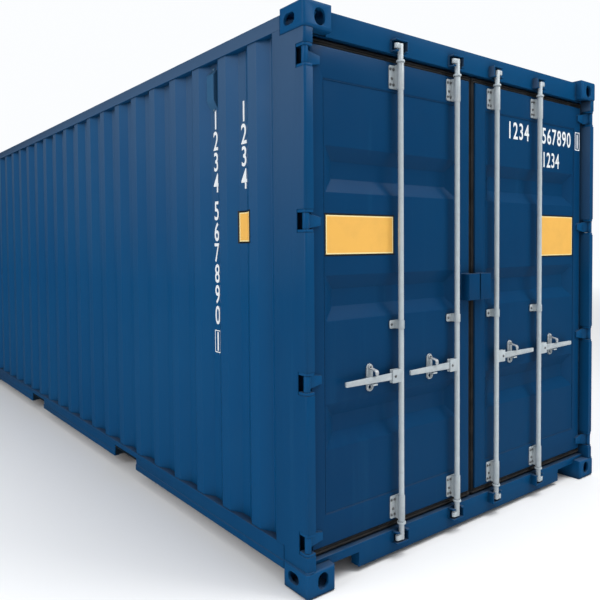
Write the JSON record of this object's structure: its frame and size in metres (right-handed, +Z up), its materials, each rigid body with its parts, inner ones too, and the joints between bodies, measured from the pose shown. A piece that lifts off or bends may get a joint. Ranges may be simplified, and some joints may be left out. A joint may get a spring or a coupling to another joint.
{
  "type": "shipping container, twenty foot, cargo doors at both ends",
  "caption": "Twenty-foot steel shipping container with corrugated walls, corner castings and hinged cargo doors with locking bars and handles.",
  "frame": {"origin": "on the ground, at the middle of the container's footprint", "axes": "+Z up, the container is long along Y, and its working doors face -Y; X is the width"},
  "size_m": [2.438, 6.058, 2.591],
  "materials": {
    "container_paint": "satin blue paint",
    "galvanised_steel": "dull galvanised",
    "gasket_rubber": "matt",
    "floor_plywood": "sealed plywood",
    "label_film": "amber film",
    "white_marking": "white film"
  },
  "bodies": {
    "frame": {"top_corner_castings": "container_paint", "bottom_corner_castings": "container_paint", "corner_posts": "container_paint", "top_side_rails": "container_paint", "bottom_side_rails": "container_paint", "end_headers": "container_paint", "end_sills": "container_paint", "left_side_wall": "container_paint", "right_side_wall": "container_paint", "roof_panel": "container_paint", "roof_end_plates": "container_paint", "cross_members": "container_paint", "fork_pockets": "container_paint", "side_ventilators": "container_paint", "hinge_lugs": "container_paint", "cam_keepers": "container_paint", "far_door_leaves": "container_paint", "far_door_hinges": "container_paint", "far_lock_box": "container_paint", "far_bar_brackets": "galvanised_steel", "far_locking_bars": "galvanised_steel", "far_handle_catches": "galvanised_steel", "far_door_gaskets": "gasket_rubber", "floor_boards": "floor_plywood"},
    "left_door": {"left_door_leaf": "container_paint", "left_door_gasket": "gasket_rubber", "left_door_hinges": "container_paint", "left_bar_brackets": "galvanised_steel", "left_handle_catches": "galvanised_steel", "left_lock_box": "container_paint"},
    "right_door": {"right_door_leaf": "container_paint", "right_door_gasket": "gasket_rubber", "right_door_hinges": "container_paint", "right_bar_brackets": "galvanised_steel", "right_handle_catches": "galvanised_steel", "right_lock_box": "container_paint"},
    "bar_1": {"locking_bar_1": "galvanised_steel"},
    "lever_1": {"handle_1": "galvanised_steel"},
    "hasp_1": {"hasp_1": "galvanised_steel"},
    "bar_2": {"locking_bar_2": "galvanised_steel"},
    "lever_2": {"handle_2": "galvanised_steel"},
    "hasp_2": {"hasp_2": "galvanised_steel"},
    "bar_3": {"locking_bar_3": "galvanised_steel"},
    "lever_3": {"handle_3": "galvanised_steel"},
    "hasp_3": {"hasp_3": "galvanised_steel"},
    "bar_4": {"locking_bar_4": "galvanised_steel"},
    "lever_4": {"handle_4": "galvanised_steel"},
    "hasp_4": {"hasp_4": "galvanised_steel"}
  },
  "joints": [
    {"name": "left_door_swing", "type": "hinge", "parent": "frame", "child": "left_door", "pos_m": [-1.195, -3.005, 1.3], "axis": [0, 0, -1], "range_deg": [0, 260]},
    {"name": "right_door_swing", "type": "hinge", "parent": "frame", "child": "right_door", "pos_m": [1.195, -3.005, 1.3], "axis": [0, 0, 1], "range_deg": [0, 260]},
    {"name": "bar_1_turn", "type": "hinge", "parent": "left_door", "child": "bar_1", "pos_m": [-0.605, -3.005, 1.3], "axis": [0, 0, -1], "range_deg": [-100, 0]},
    {"name": "handle_1_lift", "type": "hinge", "parent": "bar_1", "child": "lever_1", "pos_m": [-0.655, -3.005, 0.908], "axis": [0, 1, 0], "range_deg": [0, 10]},
    {"name": "hasp_1_swing", "type": "hinge", "parent": "left_door", "child": "hasp_1", "pos_m": [-0.785, -2.9755, 0.964], "axis": [0, -1, 0], "range_deg": [0, 100]},
    {"name": "bar_2_turn", "type": "hinge", "parent": "left_door", "child": "bar_2", "pos_m": [-0.175, -3.005, 1.3], "axis": [0, 0, -1], "range_deg": [-100, 0]},
    {"name": "handle_2_lift", "type": "hinge", "parent": "bar_2", "child": "lever_2", "pos_m": [-0.225, -3.005, 0.908], "axis": [0, 1, 0], "range_deg": [0, 10]},
    {"name": "hasp_2_swing", "type": "hinge", "parent": "left_door", "child": "hasp_2", "pos_m": [-0.355, -2.9755, 0.964], "axis": [0, -1, 0], "range_deg": [0, 100]},
    {"name": "bar_3_turn", "type": "hinge", "parent": "right_door", "child": "bar_3", "pos_m": [0.175, -3.005, 1.3], "axis": [0, 0, 1], "range_deg": [-100, 0]},
    {"name": "handle_3_lift", "type": "hinge", "parent": "bar_3", "child": "lever_3", "pos_m": [0.225, -3.005, 0.908], "axis": [0, -1, 0], "range_deg": [0, 10]},
    {"name": "hasp_3_swing", "type": "hinge", "parent": "right_door", "child": "hasp_3", "pos_m": [0.355, -2.9755, 0.964], "axis": [0, -1, 0], "range_deg": [0, 100]},
    {"name": "bar_4_turn", "type": "hinge", "parent": "right_door", "child": "bar_4", "pos_m": [0.605, -3.005, 1.3], "axis": [0, 0, 1], "range_deg": [-100, 0]},
    {"name": "handle_4_lift", "type": "hinge", "parent": "bar_4", "child": "lever_4", "pos_m": [0.655, -3.005, 0.908], "axis": [0, -1, 0], "range_deg": [0, 10]},
    {"name": "hasp_4_swing", "type": "hinge", "parent": "right_door", "child": "hasp_4", "pos_m": [0.785, -2.9755, 0.964], "axis": [0, -1, 0], "range_deg": [0, 100]}
  ]
}
